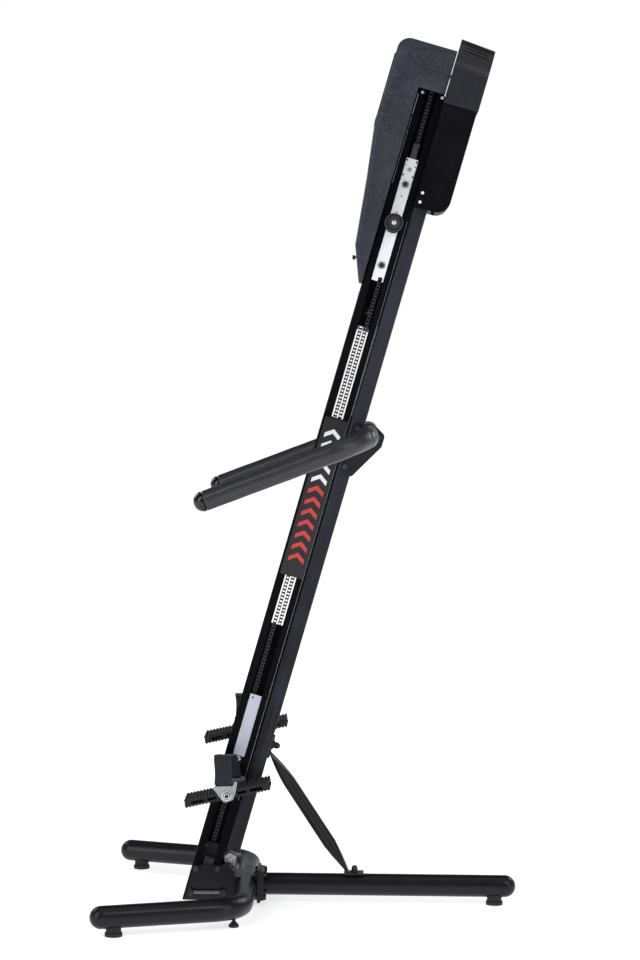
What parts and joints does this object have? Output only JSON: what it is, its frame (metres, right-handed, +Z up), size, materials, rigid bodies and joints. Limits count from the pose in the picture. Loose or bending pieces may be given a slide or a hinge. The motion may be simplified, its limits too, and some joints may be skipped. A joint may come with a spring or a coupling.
{
  "type": "vertical climber machine",
  "caption": "Standing climbing exerciser: a leaning chain mast with opposed hand and foot sliders, pedals with toe straps, a handrail and a console on a splayed tube base.",
  "frame": {"origin": "on the floor, at the middle of the machine's length and width", "axes": "+X to the rear, away from the user; +Y to the user's left; +Z up"},
  "size_m": [1.1278, 0.9158, 2.3598],
  "materials": {
    "black_powder_coat": "satin powder coat",
    "black_extrusion": "black satin anodised",
    "satin_aluminium": "satin",
    "zinc_steel": "zinc plated, dull",
    "chain_steel": "oiled dark steel",
    "white_nylon": "matte",
    "black_rubber": "matte",
    "black_foam": "smooth skinned foam",
    "cover_film": "satin film over aluminium plate",
    "slate_housing": "fine texture",
    "gloss_shroud": "gloss",
    "matte_cover": "matte",
    "display_lens": "smoked, glossy",
    "membrane_panel": "satin",
    "webbing": "woven nylon",
    "bright_screw": "bright",
    "black_steel": "black oxide"
  },
  "bodies": {
    "frame": {"base_end_caps": "black_powder_coat", "base_front_tube": "black_powder_coat", "base_rear_tube": "black_powder_coat", "bottom_chain": "chain_steel", "brace_bolts": "black_steel", "brace_strut": "black_powder_coat", "brake_magnets": "black_steel", "console_face": "membrane_panel", "console_housing": "slate_housing", "cover_screws": "bright_screw", "display_lens": "display_lens", "drive_bearings": "black_steel", "frame_bolts": "black_steel", "front_cross_chain": "chain_steel", "handrail_brackets": "black_powder_coat", "handrail_end_plugs": "black_rubber", "handrail_foam": "black_foam", "handrail_tube": "black_powder_coat", "lower_bumpers": "black_rubber", "mast_foot_bracket": "black_powder_coat", "mast_latch": "zinc_steel", "mast_rail": "black_extrusion", "mast_rear_beam": "black_extrusion", "rear_cross_chain": "chain_steel", "rear_lower_cover": "matte_cover", "rear_shroud": "gloss_shroud", "rubber_feet": "black_rubber", "side_covers": "cover_film", "top_chain": "chain_steel"},
    "right_hand": {"right_hand_slider": "satin_aluminium", "right_hand_shoes": "white_nylon", "right_hand_bolts": "black_steel", "right_hand_handle": "zinc_steel", "right_hand_grip": "black_rubber"},
    "right_foot": {"right_foot_slider": "satin_aluminium", "right_foot_shoes": "white_nylon", "right_pedal_arm": "black_steel"},
    "right_pedal_body": {"right_pedal": "black_powder_coat", "right_pedal_treads": "black_rubber", "right_strap_plates": "zinc_steel", "right_toe_strap": "webbing"},
    "right_leveller": {"right_levelling_foot": "black_rubber"},
    "left_hand": {"left_hand_slider": "satin_aluminium", "left_hand_shoes": "white_nylon", "left_hand_bolts": "black_steel", "left_hand_handle": "zinc_steel", "left_hand_grip": "black_rubber"},
    "left_foot": {"left_foot_slider": "satin_aluminium", "left_foot_shoes": "white_nylon", "left_pedal_arm": "black_steel"},
    "left_pedal_body": {"left_pedal": "black_powder_coat", "left_pedal_treads": "black_rubber", "left_strap_plates": "zinc_steel", "left_toe_strap": "webbing"},
    "left_leveller": {"left_levelling_foot": "black_rubber"},
    "drive": {"top_sprocket": "chain_steel", "drive_shaft": "zinc_steel", "brake_rotor": "zinc_steel"},
    "idler": {"bottom_sprocket": "chain_steel"},
    "knob": {"console_knob": "black_rubber"}
  },
  "joints": [
    {"name": "right_hand_slide", "type": "slide", "parent": "frame", "child": "right_hand", "axis": [0.2723, 0, 0.9622], "range_m": [-0.27, 0.13]},
    {"name": "left_hand_slide", "type": "slide", "parent": "frame", "child": "left_hand", "axis": [0.2723, 0, 0.9622], "range_m": [-0.13, 0.27]},
    {"name": "right_foot_slide", "type": "slide", "parent": "frame", "child": "right_foot", "axis": [0.2723, 0, 0.9622], "range_m": [-0.13, 0.27]},
    {"name": "left_foot_slide", "type": "slide", "parent": "frame", "child": "left_foot", "axis": [0.2723, 0, 0.9622], "range_m": [-0.27, 0.13]},
    {"name": "drive_spin", "type": "hinge", "parent": "frame", "child": "drive", "pos_m": [0.32689, 0, 2.26888], "axis": [0.9622, 0, -0.2723], "range_deg": [-460, 930]},
    {"name": "idler_spin", "type": "hinge", "parent": "frame", "child": "idler", "pos_m": [-0.28111, 0, 0.12025], "axis": [0.9622, 0, -0.2723], "range_deg": [-930, 460]},
    {"name": "right_pedal_tilt", "type": "hinge", "parent": "right_foot", "child": "right_pedal_body", "pos_m": [-0.22284, 0, 0.32616], "axis": [0, 1, 0], "range_deg": [-20, 20]},
    {"name": "left_pedal_tilt", "type": "hinge", "parent": "left_foot", "child": "left_pedal_body", "pos_m": [-0.18472, 0, 0.46087], "axis": [0, 1, 0], "range_deg": [-20, 20]},
    {"name": "right_leveller_turn", "type": "hinge", "parent": "frame", "child": "right_leveller", "pos_m": [-0.196, -0.302, 0], "axis": [0, 0, 1], "continuous": true},
    {"name": "left_leveller_turn", "type": "hinge", "parent": "frame", "child": "left_leveller", "pos_m": [-0.196, 0.302, 0], "axis": [0, 0, 1], "continuous": true},
    {"name": "knob_turn", "type": "hinge", "parent": "frame", "child": "knob", "pos_m": [0.11111, 0, 1.77186], "axis": [-0.9951, 0, -0.099], "continuous": true}
  ],
  "couplings": [
    {"joint": "left_hand_slide", "follows": "right_hand_slide", "ratio": -1},
    {"joint": "right_foot_slide", "follows": "right_hand_slide", "ratio": -1},
    {"joint": "left_foot_slide", "follows": "right_hand_slide", "ratio": 1},
    {"joint": "drive_spin", "follows": "right_hand_slide", "rad_per_m": -59.156},
    {"joint": "idler_spin", "follows": "right_hand_slide", "rad_per_m": 59.156}
  ]
}
